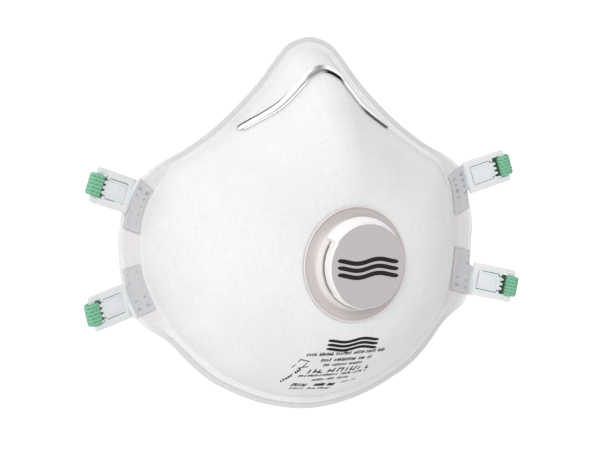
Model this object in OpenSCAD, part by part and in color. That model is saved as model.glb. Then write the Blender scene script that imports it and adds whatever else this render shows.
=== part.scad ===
// Moulded cup dust mask with an exhalation valve, four strap clips and two ribbed straps.
// The mask lies on its face seal: +Z is out of the front, +Y towards the nose.

/* [Cup] */
// Width across the flange at the cheeks
mask_w = 140; // [134:1:146]
// Height from the chin edge to the nose edge
mask_h = 130.5; // [125:0.5:136]
// Height of the crown that carries the valve
crown_z = 40; // [38:0.2:42]
// Fullness of the cup wall, larger is squarer
fullness = 2.4; // [2.1:0.1:2.8]
// Rise of the rim at the nose
nose_rise = 5; // [4:0.5:6]
// Rise of the rim at the chin
chin_rise = 8; // [7:0.5:9]

/* [Layers] */
// Thickness of the outer cover
cover_t = 0.5; // [0.4:0.05:0.6]
// Thickness of the filter web
filter_t = 0.6; // [0.5:0.05:0.7]
// Thickness of the stiff support shell
support_t = 0.6; // [0.5:0.05:0.7]
// Thickness of the soft inner lining
lining_t = 0.4; // [0.3:0.05:0.5]
// Gap kept between neighbouring layers
layer_gap = 0.1; // [0.08:0.01:0.12]
// Thickness of the face seal under the flange
seal_t = 1; // [0.8:0.1:1.2]
// Reach of the seal lip inside the crease
seal_reach = 5; // [4:0.5:6]

/* [Nose] */
// Width of the aluminium nose strip
strip_w = 3.4; // [3:0.1:5]
// Thickness of the aluminium nose strip
strip_t = 0.8; // [0.6:0.1:1]
// Thickness of the foam pad under the nose
foam_t = 2.6; // [2:0.2:3]

/* [Valve] */
// Height of the valve axis above the middle of the mask
valve_y = -11; // [-13:0.5:-9]
// Outer diameter of the valve's base ring
base_d = 39.2; // [38:0.2:39.4]
// Diameter of the cap's front disc
cap_d = 28.8; // [28.2:0.2:29]
// Height of the cap's face above the crown
valve_h = 9.4; // [9:0.2:11]
// Diameter of the silicone flap
flap_d = 24; // [23:0.5:24.4]

/* [Clips and straps] */
// Width of a clip frame
clip_w = 12.1; // [11.5:0.1:12.5]
// Length of a clip frame
clip_len = 17.3; // [17:0.1:18]
// Thickness of a clip frame
clip_t = 1.4; // [1.2:0.1:1.5]
// Width of the ribbed strap
strap_w = 7.4; // [7:0.1:8.6]
// Thickness of the ribbed strap
strap_t = 0.9; // [0.7:0.1:0.9]

/* [Hidden] */
$fn = 72;

// Right half of the flange from nose to chin: rim x, rim y, crease x, crease y
OUTLINE = [
    [0, 65.25, 0, 61.6],
    [7.5, 63.1, 5.8, 59.7],
    [12.4, 58.6, 9.4, 55.9],
    [21.3, 48, 18.3, 45.2],
    [34.3, 36, 31.8, 32.7],
    [46, 27.8, 44, 24.8],
    [57, 22, 52.3, 19.9],
    [63.6, 16.6, 56.8, 14.2],
    [67.2, 9, 59.8, 8],
    [69.8, -1, 61.4, -1],
    [69.8, -9, 61.5, -9],
    [69, -16, 60.7, -16],
    [66.6, -26, 57.6, -25.4],
    [63.2, -32.2, 54.8, -31],
    [54.6, -38.2, 50.4, -37],
    [45.2, -48, 41.5, -45.3],
    [36, -54.8, 33.4, -51.4],
    [19, -62.2, 17.8, -58.3],
    [0, -65.25, 0, -61.1]];
half_rows = len(OUTLINE) - 1;
SIZE_SCALE = [mask_w / 140, mask_h / 130.5, mask_w / 140, mask_h / 130.5];
around = 4 * half_rows;

// The rim is flat near the cheeks and rises to both ends, so the mask rests on the cheeks
rest_y = -5;
rest_half = 5;
nose_run = 18;
chin_run = 22;

// Heights of the layers in the flange stack, above the resting plane
flange_t = 0.3;
lining_lift = seal_t + layer_gap;
support_lift = lining_lift + flange_t + layer_gap;
filter_lift = support_lift + flange_t + layer_gap;
cover_lift = filter_lift + flange_t + layer_gap;
flange_top = cover_lift + flange_t;
filter_inset = cover_t + layer_gap;
support_inset = filter_inset + filter_t + layer_gap;
lining_inset = support_inset + support_t + layer_gap;
cup_t = lining_inset + lining_t;

// Share of the way from port to crease of the nose strip's middle, at t from -4 to 4
NOSE_PATH = [0.972, 0.892, 0.862, 0.86, 0.865, 0.855, 0.842, 0.866, 0.97];
nose_half = 4;

// Valve radii and heights
port_r = 15;
neck_r = 14.6;
neck_wall = 1.4;
base_t = 1.2;
seat_z = crown_z + 3;
flap_t = 0.5;
cap_wall = 1.2;
hinge_y = 8.2;
face_z = crown_z + valve_h;
collar_r = 14.9;
slit_z = crown_z + 4.4;
slit_h = 0.6;

// Clip layout: base x, base y, base z, splay angle, tilt angle
UPPER_LEFT = [65.4, 11.4, 4.3, 18.3, 14.7];
UPPER_RIGHT = [64.6, 13.4, 4.7, 18.3, 14.7];
LOWER_CLIP = [67, -23, 5, -13.1, 18];
bar_w = 2.3;
root_x = 1.2;
root_w = 2.2;
slot_w = 8;
slot_l = 2.6;
tongue_len = 9.7;
tongue_w = 6.6;
head_w = 5.2;
head_l = 1.9;
tongue_gap = 0.2;
side_gap = 0.35;
plate_t = 0.9;

// Weld plates: t at the upper end, the neck's ends and the lower end, then the slant of the ends
PLATE_UPPER_RIGHT = [6.9, 6.9, 8.1, 8.75, -0.34];
PLATE_UPPER_LEFT = [7.05, 7.05, 8.3, 8.92, -0.34];
PLATE_LOWER = [10.5, 11.15, 12.3, 12.3, 0.3];
plate_outer = 0.9;
plate_inner = 0.12;
neck_outer = 1.14;

// Free end of a strap in clip coordinates, along and above the frame, from its cut end round the bar
STRAP_TAIL = [[5.5, -1.9], [8, -1.7], [10.2, -1.5], [12.4, -1.4], [13.7, -1.2], [14.3, -0.5],
    [14.35, 0.5], [14.5, 1.15], [15.2, 1.5], [16.6, 1.5], [17.8, 1.3], [18.5, 0.6], [18.5, -0.6],
    [17.7, -1.4], [16, -1.9], [13, -2.9], [10, -3.9]];
// Middle of each strap from left to right: x, y, z, heading; it lies on the surface in one loop
UPPER_MID = [[-70, 13.6, 0.8, -12], [-65, 12.8, 0.55, 0], [-56, 13.4, 0.5, 6], [-44, 14.4, 0.5, 2],
    [-28, 14, 0.5, -8], [-12, 12.4, 0.5, -3], [0, 12, 0.5, 3], [9, 14.4, 0.5, 35],
    [15, 21, 0.5, 70], [15.6, 30, 0.5, 105], [10, 38, 0.5, 145], [0, 41.2, 0.5, 182],
    [-10, 38, 0.5, 218], [-15.4, 30, 0.7, 254], [-14.6, 21, 1.4, 290], [-8.4, 14.2, 1.8, 325],
    [0, 11.2, 1.9, 352], [9, 10.6, 1.9, 362], [18, 11.8, 1.5, 369], [30, 14.2, 0.8, 370],
    [44, 15, 0.5, 360], [56, 14.2, 0.5, 356], [65, 14, 0.55, 364], [70, 15.4, 1, 374]];
LOWER_MID = [[-71, -24.6, 1.4, 8], [-64, -24.6, 0.55, -4], [-54, -26, 0.5, -6], [-42, -25, 0.5, 8],
    [-28, -22.4, 0.5, 8], [-12, -21, 0.5, 0], [0, -21.6, 0.5, -8], [9, -24.6, 0.5, -36],
    [15, -31, 0.5, -66], [16, -40, 0.5, -100], [11, -48.6, 0.5, -140], [0, -52.4, 0.5, -180],
    [-11, -48.6, 0.5, -220], [-16, -40, 0.7, -258], [-15, -31, 1.4, -294],
    [-9, -23.8, 1.8, -326], [0, -20.2, 1.9, -350], [9, -19.4, 1.9, -360],
    [18, -20.2, 1.5, -366], [30, -22.8, 0.8, -368], [42, -25.2, 0.5, -366],
    [54, -26, 0.5, -356], [64, -24.6, 0.55, -354], [71, -24.6, 1.4, -368]];

// Row of the outline at a whole number, past the chin on the mirrored half
function outline_row(i) =
    let (m = (i % (2 * half_rows) + 2 * half_rows) % (2 * half_rows))
    m <= half_rows ? OUTLINE[m]
        : let (o = OUTLINE[2 * half_rows - m]) [-o[0], o[1], -o[2], o[3]];

// Smooth curve through four rows, at u from 0 to 1 between the middle two
function smooth(a, b, c, d, u) =
    0.5 * (2 * b + (c - a) * u + (2 * a - 5 * b + 4 * c - d) * u * u
        + (3 * b - a - 3 * c + d) * u * u * u);

// Rim and crease at t, which counts rows clockwise from the nose
function edge_at(t) =
    let (i = floor(t),
        row = smooth(outline_row(i - 1), outline_row(i), outline_row(i + 1),
            outline_row(i + 2), t - i))
    [for (k = [0:3]) row[k] * SIZE_SCALE[k]];

// Rise of the rim above the resting plane
function rise(y) =
    let (d = max(0, abs(y - rest_y) - rest_half))
    y > rest_y ? nose_rise * (1 - exp(-pow(d / nose_run, 2)))
        : chin_rise * (1 - exp(-pow(d / chin_run, 2)));

// Point of the flange, v from 0 at the crease to 1 at the rim, and below 0 inside the crease
function flange_pt(t, v, lift) =
    let (e = edge_at(t), x = e[2] + (e[0] - e[2]) * v, y = e[3] + (e[1] - e[3]) * v)
    [x, y, rise(y) + lift];

// Point of the cup, u from 0 at the valve port to 1 at the crease
function cup_pt(t, u, inset = 0, lift = flange_top) =
    let (e = edge_at(t), dx = e[2], dy = e[3] - valve_y, reach = norm([dx, dy]),
        r = port_r + (reach - inset - port_r) * u, base = rise(e[3]) + lift)
    [dx / reach * r, valve_y + dy / reach * r,
        base + (crown_z - inset - base) * (1 - pow(u, fullness))];

// Outward normal of the cup
function cup_normal(t, u) =
    let (along = cup_pt(t + 0.05, u) - cup_pt(t - 0.05, u),
        down = cup_pt(t, u + 0.01) - cup_pt(t, u - 0.01), n = cross(along, down))
    n / norm(n);

function flip(list) = [for (i = [len(list) - 1:-1:0]) list[i]];

// Closed solid from closed rings, the last ring joining the first
module loop_solid(rings) {
    count = len(rings);
    size = len(rings[0]);
    points = [for (ring = rings) each ring];
    faces = [for (i = [0:count - 1], j = [0:size - 1])
        let (a = i * size + j, b = i * size + (j + 1) % size,
            c = ((i + 1) % count) * size + (j + 1) % size, d = ((i + 1) % count) * size + j)
        each [[a, b, c], [a, c, d]]];
    polyhedron(points, faces);
}

// Closed solid from sections, each an upper row and a lower row of equal length
module strip_solid(uppers, lowers) {
    count = len(uppers);
    half = len(uppers[0]);
    size = 2 * half;
    points = [for (i = [0:count - 1]) each concat(uppers[i], flip(lowers[i]))];
    last = (count - 1) * size;
    walls = [for (i = [0:count - 2], j = [0:size - 1])
        let (a = i * size + j, b = i * size + (j + 1) % size, c = b + size, d = a + size)
        each [[a, c, b], [a, d, c]]];
    ends = [for (j = [0:half - 2])
        let (a = j, b = j + 1, c = size - 2 - j, d = size - 1 - j)
        each [[a, b, c], [a, c, d],
            [last + a, last + c, last + b], [last + a, last + d, last + c]]];
    polyhedron(points, concat(walls, ends));
}

// One moulded web of the cup with its part of the flange
module cup_layer(inset, thickness, lift, rim_v) {
    steps = 7;
    ring_count = around - 1;
    us = [for (k = [0:steps]) 1 - pow(k / steps, 1.2)];
    outer = [for (u = us) [for (j = [0:ring_count]) cup_pt(j / 2, u, inset, lift + flange_t)]];
    inner = [for (u = us) [for (j = [0:ring_count]) cup_pt(j / 2, u, inset + thickness, lift)]];
    rim_top = [for (j = [0:ring_count]) flange_pt(j / 2, rim_v, lift + flange_t)];
    rim_low = [for (j = [0:ring_count]) flange_pt(j / 2, rim_v, lift)];
    loop_solid(concat([rim_top], outer, flip(inner), [rim_low]));
}

module outer_cover() { color([0.95, 0.95, 0.95]) cup_layer(0, cover_t, cover_lift, 1); }

module filter_layer() {
    color([0.97, 0.97, 0.99]) cup_layer(filter_inset, filter_t, filter_lift, 0.98);
}

module support_shell() {
    color([0.9, 0.91, 0.93]) cup_layer(support_inset, support_t, support_lift, 0.98);
}

module inner_lining() {
    color([0.98, 0.98, 0.97]) cup_layer(lining_inset, lining_t, lining_lift, 0.98);
}

// Soft lip that goes all the way round under the flange and reaches inside the crease
module face_seal() {
    color([0.93, 0.9, 0.88]) {
        ring_count = around - 1;
        rim = [for (z = [seal_t, 0]) [for (j = [0:ring_count]) flange_pt(j / 2, 0.97, z)]];
        lip = [for (z = [seal_t, 0]) [for (j = [0:ring_count])
            let (c = flange_pt(j / 2, 0, 0), way = [c[0], c[1] - valve_y],
                y = c[1] - way[1] / norm(way) * seal_reach)
            [c[0] - way[0] / norm(way) * seal_reach, y, rise(y) + z]]];
        loop_solid([rim[0], lip[0], lip[1], rim[1]]);
    }
}

// Band laid on the cup across the nose, between two depths above the cover
module nose_band(reach, half_width, low, high, across, along) {
    top = [for (i = [-along:along]) [for (j = [0:across]) band_pt(i / along * reach,
        (1 - 2 * j / across) * half_width, high)]];
    bottom = [for (i = [-along:along]) [for (j = [0:across]) band_pt(i / along * reach,
        (1 - 2 * j / across) * half_width, low)]];
    strip_solid(top, bottom);
}

// How far out the band's middle lies
function band_u(t) =
    let (i = floor(t), k = i + nose_half)
    smooth(NOSE_PATH[max(k - 1, 0)], NOSE_PATH[k], NOSE_PATH[k + 1],
        NOSE_PATH[min(k + 2, 2 * nose_half)], t - i);
function band_pt(t, side, height) =
    let (m = band_u(t), pace = norm(cup_pt(t, m + 0.01) - cup_pt(t, m - 0.01)) / 0.02,
        u = m + side / pace)
    cup_pt(t, u) + cup_normal(t, u) * height;

module nose_strip() {
    color([0.82, 0.83, 0.85]) nose_band(3.85, strip_w / 2, 0.1, 0.1 + strip_t, 2, 15);
}

module nose_pad() {
    color([0.85, 0.85, 0.87])
        nose_band(3.1, 5, -cup_t - 0.3 - foam_t, -cup_t - 0.5, 3, 9);
}

module ring(r_out, r_in, low, high) {
    translate([0, 0, low]) difference() {
        cylinder(r = r_out, h = high - low);
        translate([0, 0, -1]) cylinder(r = r_in, h = high - low + 2);
    }
}

// Dished base ring on the crown, collar, neck through the port, seat and four spokes
module valve_body() {
    spoke_w = 1.4;
    hub_r = 2.2;
    spoke_z = seat_z - 1.6;
    base_z = crown_z + 0.1;
    dish_z = crown_z + 2;
    color([0.86, 0.84, 0.83]) translate([0, valve_y, 0]) {
        rotate_extrude() polygon([
            [neck_r - neck_wall, base_z], [base_d / 2, base_z], [base_d / 2, base_z + 0.9],
            [base_d / 2 - 0.5, base_z + 0.9], [base_d / 2 - 1.6, base_z + 0.7],
            [collar_r + 1, base_z + 1.1], [collar_r, dish_z], [collar_r, slit_z],
            [collar_r - cap_wall, slit_z], [collar_r - cap_wall, base_z + 0.9],
            [neck_r - neck_wall, base_z + 0.9]]);
        ring(neck_r, neck_r - neck_wall, crown_z - cup_t - 2, crown_z + base_t);
        ring(neck_r - 0.8, flap_d / 2 - 1.2, crown_z + 0.8, seat_z);
        translate([0, 0, spoke_z]) cylinder(r = hub_r, h = 1.2);
        for (a = [45, 135]) rotate([0, 0, a])
            translate([-neck_r + 1.5, -spoke_w / 2, spoke_z])
                cube([2 * neck_r - 3, spoke_w, 1.2]);
    }
}

// Thin silicone disc, cut straight where the clamp holds it
module valve_flap() {
    color([0.93, 0.93, 0.9]) translate([0, valve_y, seat_z + 0.05]) intersection() {
        cylinder(r = flap_d / 2, h = flap_t);
        translate([-flap_d / 2, -flap_d / 2, -1])
            cube([flap_d, flap_d / 2 + hinge_y, flap_t + 2]);
    }
}

// Bar that pins the flap's upper edge to the seat
module flap_clamp() {
    bar_l = 14;
    color([0.86, 0.84, 0.83])
        translate([-bar_l / 2, valve_y + hinge_y + 0.2, seat_z + 0.02]) cube([bar_l, 2, 1.4]);
}

// Angles at which the cap's feet stand on the collar, either side of its slits
FEET = [143, 222, 266, 311, 38];

// Cap with a closed hood above and slits between its feet
module valve_cap() {
    top_t = 1.2;
    foot_w = 2;
    foot_z = slit_z + 0.05;
    skirt_r = cap_d / 2;
    skirt_z = slit_z + slit_h;
    color([0.82, 0.8, 0.79]) translate([0, valve_y, 0]) {
        translate([0, 0, face_z - top_t]) cylinder(r = skirt_r, h = top_t);
        ring(skirt_r, skirt_r - cap_wall, skirt_z, face_z - 0.1);
        for (a = FEET) rotate([0, 0, a])
            translate([skirt_r - cap_wall + 0.1, -foot_w / 2, foot_z])
                cube([cap_wall - 0.2, foot_w, slit_h + 1]);
        intersection() {
            ring(skirt_r, skirt_r - cap_wall, foot_z, skirt_z + 1);
            translate([0, 0, foot_z])
                linear_extrude(height = 2)
                    polygon([[0, 0], for (k = [0:4])
                        let (a = FEET[4] + (FEET[0] - FEET[4]) * k / 4)
                        [cos(a), sin(a)] * cap_d]);
        }
    }
}

// Ring inside the cup that clamps the webs to the valve's neck
module valve_inner_ring() {
    color([0.86, 0.84, 0.83]) translate([0, valve_y, 0])
        ring(17.5, neck_r + 0.05, crown_z - cup_t - 1.6, crown_z - cup_t - 0.2);
}

module at_clip(clip) {
    translate([clip[0], clip[1], clip[2]]) rotate([0, 0, clip[3]]) rotate([0, -clip[4], 0])
        children();
}

// Plate from one x to another with round outer corners
module rounded_plate(low_x, length, width, radius, height) {
    translate([0, 0, -height / 2]) linear_extrude(height = height) {
        translate([low_x, -width / 2]) square([length - low_x - radius, width]);
        translate([low_x, -width / 2 + radius]) square([length - low_x, width - 2 * radius]);
        for (side = [-1, 1]) translate([length - radius, side * (width / 2 - radius)])
            circle(r = radius, $fn = 24);
    }
}

// Opening through a clip frame, from one x to another
module clip_window(from_x, to_x, width) {
    translate([from_x, -width / 2, -clip_t]) cube([to_x - from_x, width, 2 * clip_t]);
}

// Clip frame with its stepped window, and the weld plate and neck that follow the flange
module clip(place, plate) {
    window_x = root_x + root_w;
    bar_x = clip_len - bar_w;
    slot_x = bar_x - slot_l;
    head_x = window_x + tongue_gap + tongue_len - head_l;
    color([0.9, 0.92, 0.93]) {
        at_clip(place) difference() {
            rounded_plate(root_x, clip_len, clip_w, 1.2, clip_t);
            clip_window(window_x, head_x, tongue_w + 2 * side_gap);
            clip_window(window_x, bar_x, head_w + 2 * side_gap);
            clip_window(slot_x, bar_x, slot_w);
        }
        low = flange_top + 0.1;
        ends = [for (k = [0:3]) plate[0] + (plate[1] - plate[0]) * k / 3];
        neck = [for (k = [0:3]) plate[1] + (plate[2] - plate[1]) * k / 3];
        tail = [for (k = [0:3]) plate[2] + (plate[3] - plate[2]) * k / 3];
        rows = concat(plate[1] > plate[0] ? [for (t = ends) [t - 0.06, plate_outer]] : [],
            [for (t = neck) [t, neck_outer]],
            plate[3] > plate[2] ? [for (t = tail) [t + 0.06, plate_outer]] : []);
        strip_solid([for (row = rows) plate_row(row, plate[4], low + plate_t)],
            [for (row = rows) plate_row(row, plate[4], low)]);
    }
}

// Row of points across the flange, from the plate's outer edge to its inner edge
function plate_row(row, slant, lift) =
    [for (v = [row[1], 0.6, plate_inner]) flange_pt(row[0] + slant * (v - 0.5), v, lift)];

// Toothed tongue that locks the strap against the outer bar; its head is narrower than its blade
module tongue(place) {
    teeth = 3;
    tooth_w = head_w / teeth;
    tooth_l = 1.1;
    blade_l = tongue_len - head_l - tongue_gap;
    teeth_x = tongue_len - tooth_l;
    color([0.86, 0.88, 0.9]) at_clip(place) translate([root_x + root_w + tongue_gap, 0, -0.5]) {
        translate([0, -tongue_w / 2, 0]) cube([blade_l, tongue_w, 1]);
        translate([0, -head_w / 2, 0]) cube([teeth_x, head_w, 1]);
        for (k = [0:teeth - 1]) translate([teeth_x - 0.01, -head_w / 2 + k * tooth_w, 0])
            linear_extrude(height = 1)
                polygon([[0, 0.05], [tooth_l, tooth_w / 2 - 0.3], [tooth_l, tooth_w / 2 + 0.3],
                    [0, tooth_w - 0.05]]);
    }
}

// Clip coordinates to the mask's own, for the right side or mirrored to the left
function clip_world(place, along, above, side) =
    let (s = place[3], k = place[4],
        x = place[0] + along * cos(s) * cos(k) - above * sin(k) * cos(s),
        y = place[1] + along * sin(s) * cos(k) - above * sin(k) * sin(s),
        z = place[2] + along * sin(k) + above * cos(k))
    [side * x, y, z];

function strap_end(place, side, heading) =
    [for (p = STRAP_TAIL) concat(clip_world(place, p[0], p[1], side), [heading])];

// Whole route from the left clip to the right one; the loop in the middle adds a whole turn
function strap_route(left, right, mid) =
    let (turns = round((mid[len(mid) - 1][3] - right[3]) / 360))
    concat(strap_end(left, -1, -left[3]), mid,
        flip(strap_end(right, 1, right[3] + 360 * turns)));

// Flat strap swept along a route, its width square to the heading and level
module strap(route) {
    last = len(route) - 1;
    half_w = strap_w / 2;
    half_t = strap_t / 2;
    sections = [for (i = [0:last])
        let (a = route[max(i - 1, 0)], b = route[min(i + 1, last)], p = route[i],
            way = [b[0] - a[0], b[1] - a[1], b[2] - a[2]],
            wide = [-sin(p[3]), cos(p[3]), 0], up = cross(way, wide), n = up / norm(up),
            o = [p[0], p[1], p[2]])
        [[for (q = [[1, 0.5], [0.9, 1], [-0.9, 1], [-1, 0.5]])
            o + wide * q[0] * half_w + n * q[1] * half_t],
        [for (q = [[1, -0.5], [0.9, -1], [-0.9, -1], [-1, -0.5]])
            o + wide * q[0] * half_w + n * q[1] * half_t]]];
    strip_solid([for (s = sections) s[0]], [for (s = sections) s[1]]);
}

module clip_upper_right() { clip(UPPER_RIGHT, PLATE_UPPER_RIGHT); }
module clip_upper_left() { mirror([1, 0, 0]) clip(UPPER_LEFT, PLATE_UPPER_LEFT); }
module clip_lower_right() { clip(LOWER_CLIP, PLATE_LOWER); }
module clip_lower_left() { mirror([1, 0, 0]) clip(LOWER_CLIP, PLATE_LOWER); }
module tongue_upper_right() { tongue(UPPER_RIGHT); }
module tongue_upper_left() { mirror([1, 0, 0]) tongue(UPPER_LEFT); }
module tongue_lower_right() { tongue(LOWER_CLIP); }
module tongue_lower_left() { mirror([1, 0, 0]) tongue(LOWER_CLIP); }
module strap_upper() { color([0.47, 0.76, 0.6]) strap(strap_route(UPPER_LEFT, UPPER_RIGHT, UPPER_MID)); }
module strap_lower() { color([0.47, 0.76, 0.6]) strap(strap_route(LOWER_CLIP, LOWER_CLIP, LOWER_MID)); }

outer_cover();
filter_layer();
support_shell();
inner_lining();
face_seal();
nose_pad();
nose_strip();
valve_body();
valve_flap();
flap_clamp();
valve_cap();
valve_inner_ring();
clip_upper_right();
clip_upper_left();
clip_lower_right();
clip_lower_left();
tongue_upper_right();
tongue_upper_left();
tongue_lower_right();
tongue_lower_left();
strap_upper();
strap_lower();
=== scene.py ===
"""Moulded cup dust mask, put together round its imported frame, in the order it is made."""
import math

import bmesh
import bpy
import numpy as np
from mathutils import Matrix, Vector


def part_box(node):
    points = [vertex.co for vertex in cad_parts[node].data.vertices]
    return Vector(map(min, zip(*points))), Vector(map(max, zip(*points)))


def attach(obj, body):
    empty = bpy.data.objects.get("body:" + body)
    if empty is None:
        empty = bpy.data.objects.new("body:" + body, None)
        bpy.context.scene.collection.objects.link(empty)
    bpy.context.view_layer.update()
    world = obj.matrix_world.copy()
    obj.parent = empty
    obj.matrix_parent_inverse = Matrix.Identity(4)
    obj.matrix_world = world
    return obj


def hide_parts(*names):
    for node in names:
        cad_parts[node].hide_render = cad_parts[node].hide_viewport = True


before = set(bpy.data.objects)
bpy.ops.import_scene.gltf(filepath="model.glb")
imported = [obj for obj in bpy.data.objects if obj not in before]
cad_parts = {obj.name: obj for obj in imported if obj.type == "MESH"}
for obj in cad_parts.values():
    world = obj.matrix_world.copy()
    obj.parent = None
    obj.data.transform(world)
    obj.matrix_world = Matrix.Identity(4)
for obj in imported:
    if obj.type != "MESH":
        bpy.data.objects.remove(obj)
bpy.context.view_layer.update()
MM = 0.001

# ---------------------------------------------------------------------------------------------
# Table, lights and camera.
# The mask lies on its face seal on a white table. The camera looks down at it from its left,
# with the nose up in the picture, under one large soft light from the upper left.
# ---------------------------------------------------------------------------------------------
CAMERA_TURN = math.radians(27)
CAMERA_LIFT = math.radians(5.3)
CAMERA_REACH = 0.65
CAMERA_LENS = 110.4
SHIFT_LEFT, SHIFT_DOWN, SHIFT_OFF_TABLE = 0.0012, 0.001, 0.0022


def put(name, data):
    """A new object in the scene, showing the given data."""
    made = bpy.data.objects.new(name, data)
    bpy.context.scene.collection.objects.link(made)
    return made


view_right = Vector((math.cos(CAMERA_TURN), 0, math.sin(CAMERA_TURN)))
view_back = Vector((-math.sin(CAMERA_TURN) * math.cos(CAMERA_LIFT), math.sin(CAMERA_LIFT),
                    math.cos(CAMERA_TURN) * math.cos(CAMERA_LIFT)))
view_up = view_back.cross(view_right)
camera = put("camera", bpy.data.cameras.new("camera"))
camera.data.lens = CAMERA_LENS
camera.data.clip_start = 0.01
eye = (view_back * CAMERA_REACH - view_right * SHIFT_LEFT - view_up * SHIFT_DOWN
       + Vector((0, 0, SHIFT_OFF_TABLE)))
camera.matrix_world = Matrix((
    (view_right.x, view_up.x, view_back.x, eye.x),
    (view_right.y, view_up.y, view_back.y, eye.y),
    (view_right.z, view_up.z, view_back.z, eye.z),
    (0, 0, 0, 1)))
bpy.context.scene.camera = camera


def shader(name):
    """A new material with its node tree and its Principled shader."""
    finish = bpy.data.materials.new(name)
    finish.use_nodes = True
    tree = finish.node_tree
    return finish, tree, tree.nodes["Principled BSDF"]


def add(tree, kind, inputs=(), **settings):
    """One shader node with its settings, and its inputs given as values or linked sockets."""
    made = tree.nodes.new(kind)
    for key, value in settings.items():
        setattr(made, key, value)
    for key, value in dict(inputs).items():
        if isinstance(value, bpy.types.NodeSocket):
            tree.links.new(value, made.inputs[key])
        else:
            made.inputs[key].default_value = value
    return made


def set_inputs(base, values):
    """Sets several of a shader's inputs by name."""
    for key, value in values.items():
        base.inputs[key].default_value = value


def dented(tree, base, height, strength, depth):
    """Dents a finish's surface where a pattern is low."""
    dents = add(tree, "ShaderNodeBump", {"Height": height, "Strength": strength, "Distance": depth})
    tree.links.new(dents.outputs["Normal"], base.inputs["Normal"])


def grained(name, dark, light, scale, rough, detail=2.0, cells=False, bump=None):
    """A material whose colour wavers between two shades, in clouds or in cells, and which may be
    dented by the same grain. Returns it with its tree, shader, grain and colour."""
    finish, tree, base = shader(name)
    spot = add(tree, "ShaderNodeTexCoord")
    where = {"Vector": spot.outputs["Object"], "Scale": scale}
    if cells:
        grain = add(tree, "ShaderNodeTexVoronoi", where).outputs["Distance"]
    else:
        grain = add(tree, "ShaderNodeTexNoise", {**where, "Detail": detail}).outputs["Fac"]
    tone = add(tree, "ShaderNodeValToRGB", {"Fac": grain})
    tone.color_ramp.elements[0].color = (*dark, 1)
    tone.color_ramp.elements[1].color = (*light, 1)
    tree.links.new(tone.outputs["Color"], base.inputs["Base Color"])
    base.inputs["Roughness"].default_value = rough
    if bump:
        dented(tree, base, grain, *bump)
    return finish, tree, base, grain, tone.outputs["Color"]


def soft_light(name, place, aim, size, watts):
    """A square area light at a place, turned to what it aims at."""
    lamp = put(name, bpy.data.lights.new(name, "AREA"))
    lamp.data.size = size
    lamp.data.energy = watts
    lamp.location = place
    lamp.rotation_euler = (Vector(aim) - Vector(place)).to_track_quat("-Z", "Y").to_euler()


table_mesh = bpy.data.meshes.new("table")
table_mesh.from_pydata([(-4, -4, -0.0002), (4, -4, -0.0002), (4, 4, -0.0002), (-4, 4, -0.0002)],
                       [], [(0, 1, 2, 3)])
table = put("table", table_mesh)
paper, _, paper_shader = shader("white_paper")
set_inputs(paper_shader, {"Base Color": (0.93, 0.93, 0.93, 1), "Roughness": 0.9,
                          "Emission Color": (1, 1, 1, 1), "Emission Strength": 0.45})
table_mesh.materials.append(paper)

soft_light("window_light", (-0.5, 0.42, 1.0), (0, 0, 0.02), 0.7, 6.6)
room = bpy.data.worlds.new("white_room")
room.use_nodes = True
room_tree = room.node_tree
room_way = add(room_tree, "ShaderNodeTexCoord")
room_side = add(room_tree, "ShaderNodeVectorMath",
                {0: room_way.outputs["Generated"], 1: (-0.25, -0.3, 0.85)}, operation="DOT_PRODUCT")
room_glow = add(room_tree, "ShaderNodeMapRange",
                {"Value": room_side.outputs["Value"], "From Min": -0.35, "From Max": 0.85,
                 "To Min": 0.17, "To Max": 0.84})
room_tree.links.new(room_glow.outputs["Result"], room_tree.nodes["Background"].inputs["Strength"])
room_tree.nodes["Background"].inputs["Color"].default_value = (1, 1, 1, 1)
bpy.context.scene.world = room
bpy.context.scene.view_settings.view_transform = "Standard"

# ---------------------------------------------------------------------------------------------
# Head straps: two lengths of ribbed green elastic, cut from one reel.
# Each goes round the outer bar of a clip at both ends, dives through the slot past the teeth,
# and lies spare under the cup in one loop. The route is the same as the frame's own.
# ---------------------------------------------------------------------------------------------
STRAP_WIDTH = 7.4
STRAP_THICK = 0.9
STRAP_RIBS = 6
BITE_FROM, BITE_TO = 12.3, 14.4
UPPER_LEFT = (65.4, 11.4, 4.3, 18.3, 14.7)
UPPER_RIGHT = (64.6, 13.4, 4.7, 18.3, 14.7)
LOWER_CLIP = (67, -23, 5, -13.1, 18)
STRAP_TAIL = ((5.5, -1.9), (8, -1.7), (10.2, -1.5), (12.4, -1.4), (13.7, -1.2), (14.3, -0.5),
              (14.35, 0.5), (14.5, 1.15), (15.2, 1.5), (16.6, 1.5), (17.8, 1.3), (18.5, 0.6),
              (18.5, -0.6), (17.7, -1.4), (16, -1.9), (13, -2.9), (10, -3.9))
UPPER_MID = (
    (-70, 13.6, 0.8, -12), (-65, 12.8, 0.55, 0), (-56, 13.4, 0.5, 6), (-44, 14.4, 0.5, 2),
    (-28, 14, 0.5, -8), (-12, 12.4, 0.5, -3), (0, 12, 0.5, 3), (9, 14.4, 0.5, 35),
    (15, 21, 0.5, 70), (15.6, 30, 0.5, 105), (10, 38, 0.5, 145), (0, 41.2, 0.5, 182),
    (-10, 38, 0.5, 218), (-15.4, 30, 0.7, 254), (-14.6, 21, 1.4, 290), (-8.4, 14.2, 1.8, 325),
    (0, 11.2, 1.9, 352), (9, 10.6, 1.9, 362), (18, 11.8, 1.5, 369), (30, 14.2, 0.8, 370),
    (44, 15, 0.5, 360), (56, 14.2, 0.5, 356), (65, 14, 0.55, 364), (70, 15.4, 1, 374))
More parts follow.
